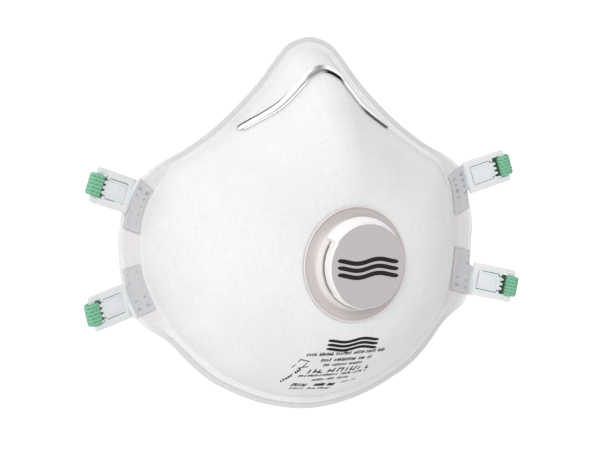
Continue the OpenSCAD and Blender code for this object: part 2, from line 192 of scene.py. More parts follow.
LOWER_MID = (
    (-71, -24.6, 1.4, 8), (-64, -24.6, 0.55, -4), (-54, -26, 0.5, -6), (-42, -25, 0.5, 8),
    (-28, -22.4, 0.5, 8), (-12, -21, 0.5, 0), (0, -21.6, 0.5, -8), (9, -24.6, 0.5, -36),
    (15, -31, 0.5, -66), (16, -40, 0.5, -100), (11, -48.6, 0.5, -140), (0, -52.4, 0.5, -180),
    (-11, -48.6, 0.5, -220), (-16, -40, 0.7, -258), (-15, -31, 1.4, -294),
    (-9, -23.8, 1.8, -326), (0, -20.2, 1.9, -350), (9, -19.4, 1.9, -360),
    (18, -20.2, 1.5, -366), (30, -22.8, 0.8, -368), (42, -25.2, 0.5, -366),
    (54, -26, 0.5, -356), (64, -24.6, 0.55, -354), (71, -24.6, 1.4, -368))


def clip_world(clip, along, above, side=1, across=0.0):
    """A place given along, across and above a clip's frame, as a point of the mask, in mm."""
    base_x, base_y, base_z, splay, tilt = clip
    s, k = math.radians(splay), math.radians(tilt)
    x = base_x + along * math.cos(s) * math.cos(k) - above * math.sin(k) * math.cos(s)
    y = base_y + along * math.sin(s) * math.cos(k) - above * math.sin(k) * math.sin(s)
    return np.array([side * (x - across * math.sin(s)), y + across * math.cos(s),
                     base_z + along * math.sin(k) + above * math.cos(k)])


def smooth(a, b, c, d, u):
    """Point of a smooth curve, at u from 0 to 1 between b and c."""
    return 0.5 * (2 * b + (c - a) * u + (2 * a - 5 * b + 4 * c - d) * u ** 2
                  + (3 * b - a - 3 * c + d) * u ** 3)


def distances(points):
    """How far along a line each of its points lies."""
    return np.concatenate([[0], np.cumsum(np.linalg.norm(np.diff(points, axis=0), axis=1))])


def piece(name, verts, faces, finish, body="mask", smooth_shade=True):
    """A mesh piece from points in mm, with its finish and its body."""
    mesh = bpy.data.meshes.new(name)
    mesh.from_pydata((np.asarray(verts) * MM).tolist(), [], faces)
    mesh.materials.append(finish)
    mesh.polygons.foreach_set("use_smooth", [smooth_shade] * len(mesh.polygons))
    made = put(name, mesh)
    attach(made, body)
    return made


def ring_faces(rings, size, close_rings, close_ring=True):
    """Faces between rings of points; a ring closes on itself, and the last may join the first."""
    faces = []
    for i in range(rings if close_rings else rings - 1):
        k = (i + 1) % rings
        for j in range(size if close_ring else size - 1):
            n = (j + 1) % size
            faces.append((i * size + j, i * size + n, k * size + n, k * size + j))
    return faces


def swept(rings, size):
    """Faces of a closed section carried along rings of points, with both ends capped."""
    last = (rings - 1) * size
    return ring_faces(rings, size, False) + [
        tuple(reversed(range(size))), tuple(last + j for j in range(size))]


def store(made, name, values):
    """Keeps one number at each point of a piece, for its finish to read."""
    made.data.attributes.new(name, "FLOAT", "POINT").data.foreach_set(
        "value", np.asarray(values, dtype=np.float32).ravel())


elastic, elastic_tree, elastic_shader = shader("green_elastic")
# The groove attribute is painted shade: a darker green in the knit's grooves and a near black green
# along the stretch inside the clip's slot.
groove = add(elastic_tree, "ShaderNodeAttribute", attribute_name="groove")
green_spot = add(elastic_tree, "ShaderNodeTexCoord")
green_noise = add(elastic_tree, "ShaderNodeTexNoise",
                  {"Vector": green_spot.outputs["Object"], "Scale": 900.0, "Detail": 3.0})
green_shade = add(elastic_tree, "ShaderNodeValToRGB", {"Fac": groove.outputs["Fac"]})
# Ramp: the elastic's own green at 0, painted shade for the knit's grooves at 0.6, deep painted shade
# inside the slot at 1.
green_shade.color_ramp.elements[0].color = (0.235, 0.445, 0.325, 1)
green_shade.color_ramp.elements[1].color = (0.014, 0.07, 0.038, 1)
green_shade.color_ramp.elements.new(0.6).color = (0.03, 0.15, 0.08, 1)
green_fleck = add(elastic_tree, "ShaderNodeMix",
                  {"Factor": green_noise.outputs["Fac"], "B": (0.30, 0.70, 0.46, 1),
                   "A": green_shade.outputs["Color"]}, data_type="RGBA", blend_type="SOFT_LIGHT")
elastic_tree.links.new(green_fleck.outputs["Result"], elastic_shader.inputs["Base Color"])
set_inputs(elastic_shader, {"Roughness": 0.75, "Sheen Weight": 0.3})
dented(elastic_tree, elastic_shader, green_noise.outputs["Fac"], 0.3, 0.0001)


def strap(name, left, right, mid, node):
    """One strap, swept along its route with knitted ribs on both faces, and with painted shade in its
    grooves and along the stretch inside the clip's slot.
    """
    turns = round((mid[-1][3] - right[3]) / 360)
    # The third column marks the stretch inside the slot, which gets painted shade.
    tail = [(a, b, float(BITE_FROM < a < BITE_TO)) for a, b in STRAP_TAIL]
    rows = [(*clip_world(left, a, b, -1), -left[3], shade) for a, b, shade in tail]
    rows += [(*row, 0) for row in mid]
    rows += [(*clip_world(right, a, b), right[3] + 360 * turns, shade) for a, b, shade in tail[::-1]]
    rows = np.array(rows, dtype=float)
    steps_between = np.maximum(2, np.ceil(
        np.linalg.norm(np.diff(rows[:, :3], axis=0), axis=1) / 0.45)).astype(int)
    line = []
    for i, steps in enumerate(steps_between):
        a, b = rows[max(i - 1, 0)], rows[i]
        c, d = rows[i + 1], rows[min(i + 2, len(rows) - 1)]
        line += [smooth(a, b, c, d, k / steps) for k in range(steps)]
    line = np.array(line + [rows[-1]])
    middle = line[:, :3]
    way = np.gradient(middle, axis=0)
    turn = np.radians(line[:, 3])
    wide = np.stack([-np.sin(turn), np.cos(turn), np.zeros(len(turn))], 1)
    up = np.cross(way, wide)
    up /= np.linalg.norm(up, axis=1)[:, None]
    run = distances(middle)

    across = np.linspace(-1, 1, 25)
    edge_round = np.sqrt(np.clip(1 - across ** 8, 0, 1))
    verts, groove_shades = [], []
    for m, w, n, r, slot_shade in zip(middle, wide, up, run, np.clip(line[:, 4], 0, 1)):
        rib = np.abs(np.sin(across * math.pi * STRAP_RIBS / 2))
        knit = 0.5 + 0.5 * np.sin(2 * math.pi * r / 1.7 + (np.floor((across + 1) * 3) % 2) * 3.1)
        dent = (1 - rib) ** 1.5 * (0.15 + 0.85 * knit ** 0.7)
        half = STRAP_THICK / 2 * edge_round * (1 - 0.32 * dent)
        top = m + np.outer(across, w) * STRAP_WIDTH / 2 + np.outer(half, n)
        low = m + np.outer(across, w) * STRAP_WIDTH / 2 - np.outer(half, n)
        verts += [top, low[::-1][1:-1]]
        # Painted shade: both faces darken in the knit's grooves; the low face darkens all along the
        # slot's stretch, the top face only at its middle.
        under = np.maximum(0.6 * dent, np.clip(slot_shade * 8 - 7, 0, 1))
        groove_shades += [under, np.maximum(under, slot_shade)[::-1][1:-1]]
    size = 2 * len(across) - 2
    faces = [f[::-1] for f in swept(len(line), size)]
    made = piece(name, np.concatenate(verts), faces, elastic)
    store(made, "groove", np.concatenate(groove_shades))
    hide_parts(node)


strap("upper_strap", UPPER_LEFT, UPPER_RIGHT, UPPER_MID, "strap_upper")
strap("lower_strap", LOWER_CLIP, LOWER_CLIP, LOWER_MID, "strap_lower")

# ---------------------------------------------------------------------------------------------
# Outer cover: spunbond web, heat-moulded over a form into the cup and its flange.
# It is welded to the webs under it round the rim, where the stack is pressed thin, and along
# the foot of the wall, which leaves a narrow ledge.
# ---------------------------------------------------------------------------------------------
OUTLINE = np.array([
    (0, 65.25, 0, 61.6), (7.5, 63.1, 5.8, 59.7), (12.4, 58.6, 9.4, 55.9),
    (21.3, 48, 18.3, 45.2), (34.3, 36, 31.8, 32.7), (46, 27.8, 44, 24.8),
    (57, 22, 52.3, 19.9), (63.6, 16.6, 56.8, 14.2), (67.2, 9, 59.8, 8),
    (69.8, -1, 61.4, -1), (69.8, -9, 61.5, -9), (69, -16, 60.7, -16),
    (66.6, -26, 57.6, -25.4), (63.2, -32.2, 54.8, -31), (54.6, -38.2, 50.4, -37),
    (45.2, -48, 41.5, -45.3), (36, -54.8, 33.4, -51.4), (19, -62.2, 17.8, -58.3),
    (0, -65.25, 0, -61.1)])
LOOP = np.concatenate([OUTLINE, OUTLINE[-2:0:-1] * (-1, 1, -1, 1)])
SEAL_THICK = 1.0
FLANGE_TOP = 2.6
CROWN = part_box("outer_cover")[1][2] / MM
VALVE_Y = -11.0
PORT_R = 15.0
FULLNESS = 2.4
NOSE_RISE = 5.0
NOSE_RUN = 18.0
CHIN_RISE = 8.0
CHIN_RUN = 22.0


def edges(t):
    """Rim and crease at t, which counts the outline's rows clockwise from the nose."""
    t = np.asarray(t, dtype=float)
    i = np.floor(t).astype(int)
    rows = [LOOP[(i + k) % len(LOOP)] for k in (-1, 0, 1, 2)]
    return smooth(*rows, (t - i)[..., None])


def rise(y):
    """Rise of the rim above the table: none along the cheeks, most at nose and chin."""
    apart = np.maximum(0, np.abs(y + 5) - 5)
    return np.where(y > -5, NOSE_RISE * (1 - np.exp(-(apart / NOSE_RUN) ** 2)),
                    CHIN_RISE * (1 - np.exp(-(apart / CHIN_RUN) ** 2)))


def pressed(t, v):
    """Share of squeeze at v of the way out to the rim: full at nose and chin, none at the clips."""
    from_nose = np.abs((np.asarray(t) + 18) % 36 - 18)
    off_clips = np.clip(np.maximum(6.4 - from_nose, from_nose - 12.8), 0, 1)
    s = np.clip((v - 0.46) / 0.1, 0, 1)
    return off_clips * s * s * (3 - 2 * s)


def flange(t, v, lift):
    """Points of the flange at share v out from the crease, lift above the table's rise."""
    e = edges(t)
    x, y = e[..., 2] + (e[..., 0] - e[..., 2]) * v, e[..., 3] + (e[..., 1] - e[..., 3]) * v
    stack = np.maximum(lift - SEAL_THICK, 0)
    return np.stack([x, y, rise(y) + lift - 0.45 * stack * pressed(t, v)], -1)


def weld_lines(v):
    """Depth of the two fine lines that the welding tool leaves in the cover's flange, in mm."""
    return 0.14 * (np.exp(-((v - 0.3) / 0.03) ** 2) + np.exp(-((v - 0.64) / 0.03) ** 2))


def cup(t, u, inset=0.0, lift=FLANGE_TOP):
    """Points of the cup's wall, from u = 0 at the valve's port to u = 1 at the crease."""
    e = edges(t)
    dx, dy = e[..., 2], e[..., 3] - VALVE_Y
    reach = np.hypot(dx, dy)
    r = PORT_R + (reach - inset - PORT_R) * u
    base = rise(e[..., 3]) + lift
    z = base + (CROWN - inset - base) * (1 - np.clip(u, 0, 1.2) ** FULLNESS)
    return np.stack([dx / reach * r, VALVE_Y + dy / reach * r, z], -1)


def cup_normals(t, u):
    """Outward directions of the cup's wall."""
    along = cup(t + 0.04, u) - cup(t - 0.04, u)
    down = cup(t, u + 0.008) - cup(t, u - 0.008)
    n = np.cross(along, down)
    return n / np.linalg.norm(n, axis=-1)[..., None]


def web_rings(ts, us, vs, inset, lift):
    """Rings of one face of a web, from the rim in over the crease and up to the port."""
    rings = [flange(ts, np.full(len(ts), v), lift) for v in vs]
    rings += [cup(ts, np.full(len(ts), u), inset, lift) for u in us]
    return rings


def fibre_web(name, colour, streak):
    """Finish of a nonwoven: matted fibres, laid mostly lengthwise, with faint cloudy patches."""
    finish, tree, base = shader(name)
    spot = add(tree, "ShaderNodeTexCoord")
    laid = add(tree, "ShaderNodeMapping",
               {"Vector": spot.outputs["Object"], "Scale": (1.0, streak, 1.0)})
    fibres = add(tree, "ShaderNodeTexNoise",
                 {"Vector": laid.outputs["Vector"], "Scale": 1500.0, "Detail": 4.0,
                  "Roughness": 0.65, "Distortion": 0.8})
    cloud = add(tree, "ShaderNodeTexNoise",
                {"Vector": spot.outputs["Object"], "Scale": 70.0, "Detail": 3.0})
    tint = add(tree, "ShaderNodeAttribute", attribute_name="tint")
    warm = add(tree, "ShaderNodeMix",
               {"Factor": tint.outputs["Fac"], "A": (*colour, 1), "B": (0.74, 0.715, 0.70, 1)},
               data_type="RGBA")
    fused = add(tree, "ShaderNodeAttribute", attribute_name="fused")
    pale = add(tree, "ShaderNodeMix",
               {"Factor": fused.outputs["Fac"], "A": warm.outputs["Result"],
                "B": (0.66, 0.66, 0.66, 1)}, data_type="RGBA")
    shade = add(tree, "ShaderNodeMapRange",
                {"Value": cloud.outputs["Fac"], "From Min": 0.3, "From Max": 0.7,
                 "To Min": 0.96, "To Max": 1.0})
    fine = add(tree, "ShaderNodeMapRange",
               {"Value": fibres.outputs["Fac"], "From Min": 0.35, "From Max": 0.65,
                "To Min": 0.93, "To Max": 1.0})
    both = add(tree, "ShaderNodeMath", {0: shade.outputs["Result"], 1: fine.outputs["Result"]},
               operation="MULTIPLY")
    final = add(tree, "ShaderNodeVectorMath",
                {0: pale.outputs["Result"], "Scale": both.outputs["Value"]}, operation="SCALE")
    tree.links.new(final.outputs["Vector"], base.inputs["Base Color"])
    set_inputs(base, {"Roughness": 0.92, "Sheen Weight": 0.12, "Specular IOR Level": 0.25})
    dented(tree, base, fibres.outputs["Fac"], 0.55, 0.00012)
    return finish


AROUND = 468
ts_fine = np.arange(AROUND) * len(LOOP) / AROUND
SEAM = 231
ts_fine[SEAM - 1:SEAM + 2] = ts_fine[SEAM] + np.array([-0.018, 0, 0.018])
cover_us = np.concatenate([np.linspace(1, 0.9, 9), np.linspace(0.88, 0, 33)])
cover_vs = np.concatenate([[1.0], np.linspace(0.985, 0.02, 34)])
COVER_LIFT = FLANGE_TOP - 0.3
cover_top = web_rings(ts_fine, cover_us, cover_vs, 0.0, FLANGE_TOP)
for ring, v in zip(cover_top, cover_vs):
    ring[:, 2] -= weld_lines(v) * (1 - pressed(ts_fine, v))
    ring[SEAM, 2] -= 0.25 if v < 0.45 else 0
cover_low = web_rings(ts_fine, cover_us, cover_vs, 0.5, COVER_LIFT)
cover_web = fibre_web("spunbond_cover", (0.83, 0.835, 0.84), 0.3)
cover = piece("moulded_cover", np.concatenate(cover_top + cover_low[::-1]),
              ring_faces(2 * len(cover_top), AROUND, True), cover_web)
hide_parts("outer_cover")
flange_share = np.concatenate([cover_vs, -np.ones(len(cover_us))])[:, None]
tint_grid = np.clip(np.minimum(flange_share / 0.08, (0.86 - flange_share) / 0.08), 0, 1)
tint_grid = tint_grid * (1 - pressed(ts_fine, 1.0)) * 0.75 + 0 * ts_fine
fused_grid = pressed(ts_fine, np.maximum(flange_share, 0)) * (flange_share < 0.93) * 0.8
for label, grid in (("tint", tint_grid), ("fused", fused_grid)):
    store(cover, label, np.concatenate([grid, grid[::-1]]))

# ---------------------------------------------------------------------------------------------
# Filter web, support shell and inner lining: three more webs nested under the cover.
# The meltblown filter does the work, the stiff needled shell keeps the form, and the soft
# lining touches the skin. All are moulded with the cover and welded to it round the rim.
# ---------------------------------------------------------------------------------------------
WEBS = (("meltblown_filter", "filter_layer", "filter_web", 0.6, 0.6, 1.9, (0.93, 0.94, 0.95)),
        ("stiff_shell", "support_shell", "support_web", 1.3, 0.6, 1.5, (0.86, 0.87, 0.89)),
        ("soft_lining", "inner_lining", "lining_web", 2.0, 0.4, 1.1, (0.92, 0.92, 0.91)))
WEB_AROUND = 252
ts_web = np.arange(WEB_AROUND) * len(LOOP) / WEB_AROUND
web_us = 1 - np.linspace(0, 1, 28) ** 1.1
for name, node, slot, inset, thick, lift, colour in WEBS:
    top = web_rings(ts_web, web_us, (0.985, 0.7, 0.35), inset, lift + 0.3)
    low = web_rings(ts_web, web_us, (0.985, 0.7, 0.35), inset + thick, lift)
    web = piece(name, np.concatenate(top + low[::-1]), ring_faces(2 * len(top), WEB_AROUND, True),
                fibre_web(name + "_fibres", colour, 0.8))
    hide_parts(node)

# ---------------------------------------------------------------------------------------------
# Face seal: a soft foam lip all round, under the flange and reaching in past the crease.
# Its edges are rounded, and its skin dimples a little. It is welded to the flange's underside.
# ---------------------------------------------------------------------------------------------
SEAL_REACH = 5.0
foam_skin, _, foam_shader, _, _ = grained(
    "seal_foam", (0.84, 0.82, 0.78), (0.90, 0.885, 0.855), 1400.0, 0.85, cells=True,
    bump=(0.4, 0.0001))
set_inputs(foam_shader, {"Subsurface Weight": 0.15, "Subsurface Scale": 0.002})

e = edges(ts_web)
inward = np.stack([e[:, 2], e[:, 3] - VALVE_Y], 1)
inward /= np.linalg.norm(inward, axis=1)[:, None]
lip_xy = e[:, 2:] - inward * SEAL_REACH
rim_xy = e[:, 2:] + (e[:, :2] - e[:, 2:]) * 0.97
seal_rings = []
for k in range(26):
    a = 2 * math.pi * k / 26
    out = np.sign(math.cos(a)) * abs(math.cos(a)) ** 0.25
    high = SEAL_THICK / 2 + SEAL_THICK / 2 * math.sin(a)
    share = 0.5 - 0.5 * out
    xy = rim_xy + (lip_xy - rim_xy) * share
    seal_rings.append(np.column_stack([xy, rise(xy[:, 1]) + high]))
seal = piece("soft_face_seal", np.concatenate(seal_rings[::-1]),
             ring_faces(26, WEB_AROUND, True), foam_skin)
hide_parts("face_seal")

# ---------------------------------------------------------------------------------------------
# Nose pad: a strip of open-cell foam glued inside the lining, across the bridge of the nose.
# Nose strip: soft aluminium, 0.8 mm thick with rolled edges and round ends, glued on the cover
# and pressed to shape by hand, so that it stands a little proud at its ends.
# ---------------------------------------------------------------------------------------------
NOSE_PATH = np.array([0.972, 0.892, 0.862, 0.86, 0.865, 0.855, 0.842, 0.866, 0.97])
STRIP_WIDTH = 3.4


def nose_middle(t):
    """Share of the way out from port to crease at which the strip's middle lies."""
    i = np.floor(t).astype(int)
    rows = [NOSE_PATH[np.clip(i + 4 + k, 0, 8)] for k in (-1, 0, 1, 2)]
    return smooth(*rows, t - i)


def nose_points(t, side, height):
    """Points beside the strip's middle by side mm, and height mm above the cover."""
    m = nose_middle(t)
    pace = np.linalg.norm(cup(t, m + 0.01) - cup(t, m - 0.01), axis=-1) / 0.02
    u = m + side / pace
    return cup(t, u) + cup_normals(t, u) * np.asarray(height)[..., None]


def nose_band(name, reach, half_width, profile, steps, finish, round_end):
    """A band across the nose; profile is its section as shares of the width and heights."""
    ts = np.linspace(-reach, reach, steps)
    place = nose_points(ts, 0.0, np.zeros(steps))
    run = distances(place)
    left = np.minimum(run, run[-1] - run)
    width = half_width * np.sqrt(np.clip(1 - np.clip(1 - left / round_end, 0, 1) ** 2, 0.02, 1))
    rings = [nose_points(ts, width * s, np.full(steps, h)) for s, h in profile]
    verts = np.stack(rings, 1).reshape(-1, 3)
    return piece(name, verts, swept(steps, len(profile)), finish)


aluminium, metal_tree, metal_shader = shader("rolled_aluminium")
metal_spot = add(metal_tree, "ShaderNodeTexCoord")
metal_grain = add(metal_tree, "ShaderNodeTexNoise",
                  {"Vector": metal_spot.outputs["Object"], "Scale": 350.0, "Detail": 5.0})
metal_rough = add(metal_tree, "ShaderNodeMapRange",
                  {"Value": metal_grain.outputs["Fac"], "To Min": 0.16, "To Max": 0.3})
metal_tree.links.new(metal_rough.outputs["Result"], metal_shader.inputs["Roughness"])
# Where this attribute is high the metal is painted near black: painted dark reflections and edge shade.
metal_painted_dark = add(metal_tree, "ShaderNodeAttribute", attribute_name="painted_reflection_and_shade")
metal_tone = add(metal_tree, "ShaderNodeValToRGB", {"Fac": metal_painted_dark.outputs["Fac"]})
metal_tone.color_ramp.elements[0].color = (0.90, 0.905, 0.91, 1)
metal_tone.color_ramp.elements[1].color = (0.02, 0.02, 0.025, 1)
metal_tree.links.new(metal_tone.outputs["Color"], metal_shader.inputs["Base Color"])
metal_shader.inputs["Metallic"].default_value = 1.0
dented(metal_tree, metal_shader, metal_grain.outputs["Fac"], 0.15, 0.0001)
strip_profile = ([(s, 0.9 - 0.12 * s * s) for s in np.linspace(0.93, -0.93, 13)]
                 + [(-0.99, 0.68), (-1.0, 0.45), (-0.99, 0.2)]
                 + [(s, 0.1) for s in np.linspace(-0.93, 0.93, 5)]
                 + [(0.99, 0.2), (1.0, 0.45), (0.99, 0.68)])
strip = nose_band("nose_strip_metal", 3.85, STRIP_WIDTH / 2, strip_profile, 141, aluminium,
                  2.2)
# Painted dark reflections and shade on the strip: along its upper edge near the left end, over the
# crown, along its lower edge past the crown, at the far end's lower edge, and faintly along both rolled
# edges.
reach_t = np.linspace(-3.85, 3.85, 141)[:, None]
shares = np.array([s for s, h in strip_profile])[None, :]
upper_edge_painted = (np.clip((shares - 0.3 - 0.22 * (reach_t + 3.85)) / 0.25, 0, 1)
             * np.clip((-2.3 - reach_t) / 0.6, 0, 1))
crown_painted = np.clip((shares + 0.3) / 0.5, 0, 1) * np.exp(-((reach_t + 0.25) / 0.42) ** 2) * 0.75
lower_edge_painted = np.clip((-0.25 - shares) / 0.3, 0, 1) * np.clip(np.minimum(
    (reach_t + 0.3) / 0.5, (1.9 - reach_t) / 0.9), 0, 1)
far_end_painted = np.clip((-0.2 - shares) / 0.3, 0, 1) * np.clip((reach_t - 2.6) / 0.4, 0, 1) * 0.85
rolled_edge_painted = np.exp(-((np.abs(shares) - 0.9) / 0.12) ** 2) * 0.25
store(strip, "painted_reflection_and_shade", np.max([upper_edge_painted, crown_painted, lower_edge_painted, far_end_painted, rolled_edge_painted + 0 * reach_t], axis=0))
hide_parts("nose_strip")

pad_foam = grained("open_cell_foam", (0.55, 0.55, 0.57), (0.80, 0.80, 0.81), 1100.0, 0.95,
                   cells=True, bump=(0.8, 0.0004))[0]
pad_high, pad_low = -2.95, -5.35
pad_profile = ([(s, pad_high) for s in np.linspace(0.9, -0.9, 7)]
               + [(-0.98, pad_high - 0.4), (-1.0, -4.1), (-0.97, -4.9)]
               + [(s, pad_low + 0.35 * s * s) for s in np.linspace(-0.88, 0.88, 9)]
               + [(0.97, -4.9), (1.0, -4.1), (0.98, pad_high - 0.4)])
pad = nose_band("nose_foam_pad", 3.1, 5.0, pad_profile, 61, pad_foam, 3.0)
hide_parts("nose_pad")

# ---------------------------------------------------------------------------------------------
# Strap clips: four polypropylene mouldings, each a thin plate welded to the flange by two rows
# of dots, and a frame that stands off the rim. The frame's outer bar carries the strap.
# The toothed tongue is moulded on a film at the root and bites the strap.
# ---------------------------------------------------------------------------------------------
CLIP_LENGTH = 17.3
CLIP_WIDTH = 12.1
CLIP_THICK = 1.4
ROOT_X = 1.2
WINDOW_X = 3.4
SLOT_X = 12.4
BAR_X = 15.0
SLOT_HALF = 4.0
SLIT = 0.26
BLADE_X = 3.6
HEAD_X = 11.2
TEETH_X = 12.2
TIP_X = 13.3
BLADE_HALF = 3.3
HEAD_HALF = 2.6
PLATE_THICK = 0.9
PLATE_INNER = 0.12
PLATE_OUTER = 0.9
NECK_OUTER = 1.14

clip_pp, clip_tree, clip_shader, clip_flow, clip_tone = grained(
    "clip_polypropylene", (0.70, 0.72, 0.735), (0.78, 0.79, 0.80), 260.0, 0.4, detail=4.0)
clip_thin = add(clip_tree, "ShaderNodeAttribute", attribute_name="thin")
clip_colour = add(clip_tree, "ShaderNodeMix",
                  {"Factor": clip_thin.outputs["Fac"], "A": clip_tone,
                   "B": (0.565, 0.56, 0.575, 1)}, data_type="RGBA")
clip_tree.links.new(clip_colour.outputs["Result"], clip_shader.inputs["Base Color"])
clip_rough = add(clip_tree, "ShaderNodeMapRange",
                 {"Value": clip_flow, "To Min": 0.3, "To Max": 0.45})
clip_tree.links.new(clip_rough.outputs["Result"], clip_shader.inputs["Roughness"])
set_inputs(clip_shader, {"Subsurface Weight": 0.25, "Subsurface Scale": 0.0015})

# Weld dots: dark grey for the melted plastic and for the shade in each weld's dimple, so partly painted
# shade.
weld_dot_painted_shade = grained("weld_dot_melt_and_shade", (0.24, 0.24, 0.26), (0.55, 0.55, 0.56), 700.0, 0.35)[0]


def cut_plate(xs, ys, solid, low, high):
    """Points and faces of a flat plate made of the solid cells of a grid, with all its walls."""
    verts, index, faces = [], {}, []

    def at(i, j, z):
        if (i, j, z) not in index:
            index[i, j, z] = len(verts)
            verts.append((xs[i], ys[j], high if z else low))
        return index[i, j, z]

    cells = [(i, j) for i in range(len(xs) - 1) for j in range(len(ys) - 1) if solid(
        (xs[i] + xs[i + 1]) / 2, (ys[j] + ys[j + 1]) / 2)]
    for i, j in cells:
        faces.append([at(i, j, 1), at(i + 1, j, 1), at(i + 1, j + 1, 1), at(i, j + 1, 1)])
        faces.append([at(i, j, 0), at(i, j + 1, 0), at(i + 1, j + 1, 0), at(i + 1, j, 0)])
        for di, dj, a, b in ((0, -1, (0, 0), (1, 0)), (1, 0, (1, 0), (1, 1)),
                             (0, 1, (1, 1), (0, 1)), (-1, 0, (0, 1), (0, 0))):
            if (i + di, j + dj) not in cells:
                p, q = (i + a[0], j + a[1]), (i + b[0], j + b[1])
                faces.append([at(*p, 0), at(*q, 0), at(*q, 1), at(*p, 1)])
    return verts, faces


def soften(mesh, width, corner=0.0):
    """Merges flat neighbours, then rounds the plan's outer corners and every sharp edge."""
    work = bmesh.new()
    work.from_mesh(mesh)
    bmesh.ops.dissolve_limit(work, angle_limit=0.01, verts=work.verts, edges=work.edges)
    if corner:
        far = max(v.co.x for v in work.verts)
        wide = max(abs(v.co.y) for v in work.verts)
        upright = [e for e in work.edges
                   if all(v.co.x > far - 1e-6 and abs(v.co.y) > wide - 1e-6 for v in e.verts)]
        bmesh.ops.bevel(work, geom=upright, offset=corner, segments=5, affect="EDGES", profile=0.5)
    sharp = [e for e in work.edges if e.is_manifold and e.calc_face_angle() > 0.6]
    bmesh.ops.bevel(work, geom=sharp, offset=width, segments=2, affect="EDGES",
                    profile=0.6, clamp_overlap=True)
    work.to_mesh(mesh)
    work.free()
    mesh.polygons.foreach_set("use_smooth", [True] * len(mesh.polygons))
    mesh.set_sharp_from_angle(angle=0.7)


def place_in_clip(mesh, clip, side):
    """Moves a mesh from a clip's own millimetres to its place on the mask."""
    spots = [clip_world(clip, v.co.x, v.co.z, side, v.co.y) * MM for v in mesh.vertices]
    for v, spot in zip(mesh.vertices, spots):
        v.co = spot
    if side < 0:
        mesh.flip_normals()


def merged(name, pieces):
    """Several meshes in one, which are used up."""
    work = bmesh.new()
    for part in pieces:
        work.from_mesh(part)
        bpy.data.meshes.remove(part)
    mesh = bpy.data.meshes.new(name)
    work.to_mesh(mesh)
    work.free()
    return mesh


def block(xs, ys, solid, low, high, width, corner=0.0):
    """A softened plate cut from a grid, in a clip's own millimetres."""
    part = bpy.data.meshes.new("block")
    verts, faces = cut_plate(xs, ys, solid, low, high)
    part.from_pydata(verts, [], faces)
    soften(part, width, corner=corner)
    return part


def clip_frame_mesh(name):
    """The frame: rails, root, a stepped window, a bar for the strap and a raised cheek each side."""
    xs = [ROOT_X, WINDOW_X, HEAD_X + SLIT, SLOT_X, BAR_X, CLIP_LENGTH]
    wide, head = BLADE_HALF + SLIT, HEAD_HALF + SLIT
    ys = [-CLIP_WIDTH / 2, -SLOT_HALF, -wide, -head, head, wide, SLOT_HALF, CLIP_WIDTH / 2]

    def solid(x, y):
        window = WINDOW_X < x < HEAD_X + SLIT and abs(y) < wide
        neck = WINDOW_X < x < BAR_X and abs(y) < head
        slot = SLOT_X < x < BAR_X and abs(y) < SLOT_HALF
        return not (window or neck or slot)

    parts = [block(xs, ys, solid, -CLIP_THICK / 2, CLIP_THICK / 2, 0.2, corner=1.1)]
    for y in (-1, 1):
        sides = sorted((y * (SLOT_HALF + 0.1), y * (CLIP_WIDTH / 2 - 0.12)))
        parts.append(block([BAR_X - 0.6, CLIP_LENGTH - 0.3], sides, lambda *at: True,
                           0.3, 1.0, 0.25))
    return merged(name, parts)


def tongue_mesh(name):
    """The tongue: a thin blade with a raised border, a narrower head and three bold teeth."""
    border = 0.5
    xs = [BLADE_X, BLADE_X + border, HEAD_X - border, HEAD_X, TEETH_X]
    ys = [-BLADE_HALF, -HEAD_HALF, -BLADE_HALF + 1.1, BLADE_HALF - 1.1, HEAD_HALF, BLADE_HALF]
    rim = BLADE_HALF - HEAD_HALF

    def outline(x, y):
        return x < HEAD_X or abs(y) < HEAD_HALF

    def raised(x, y):
        return outline(x, y) and (x < BLADE_X + border or x > HEAD_X - border
                                  or abs(y) > BLADE_HALF - rim)

    parts = [block(xs, ys, outline, -0.5, 0.12, 0.08), block(xs, ys, raised, -0.45, 0.5, 0.12)]
    pitch = 2 * HEAD_HALF / 3
    for k in (-1, 0, 1):
        plan = [(TEETH_X - 0.3, -0.6), (TEETH_X + 0.3, -0.58), (TIP_X - 0.25, -0.42),
                (TIP_X, -0.2), (TIP_X, 0.2), (TIP_X - 0.25, 0.42), (TEETH_X + 0.3, 0.58),
                (TEETH_X - 0.3, 0.6)]
        count = len(plan)
        solid = [(x, y + k * pitch, z) for z in (-0.48, 0.48) for x, y in plan]
        faces = [list(range(count))[::-1], list(range(count, 2 * count))]
        faces += [[j, (j + 1) % count, count + (j + 1) % count, count + j] for j in range(count)]
        tooth = bpy.data.meshes.new("tooth")
        tooth.from_pydata(solid, [], faces)
        soften(tooth, 0.1)
        parts.append(tooth)
    return merged(name, parts)


def on_plate(t, v, slant, height):
    """A point of a weld plate; its ends slant, so that they run along with the clip."""
    return flange(np.array(t + slant * (v - 0.5)), v, FLANGE_TOP + 0.1 + height)


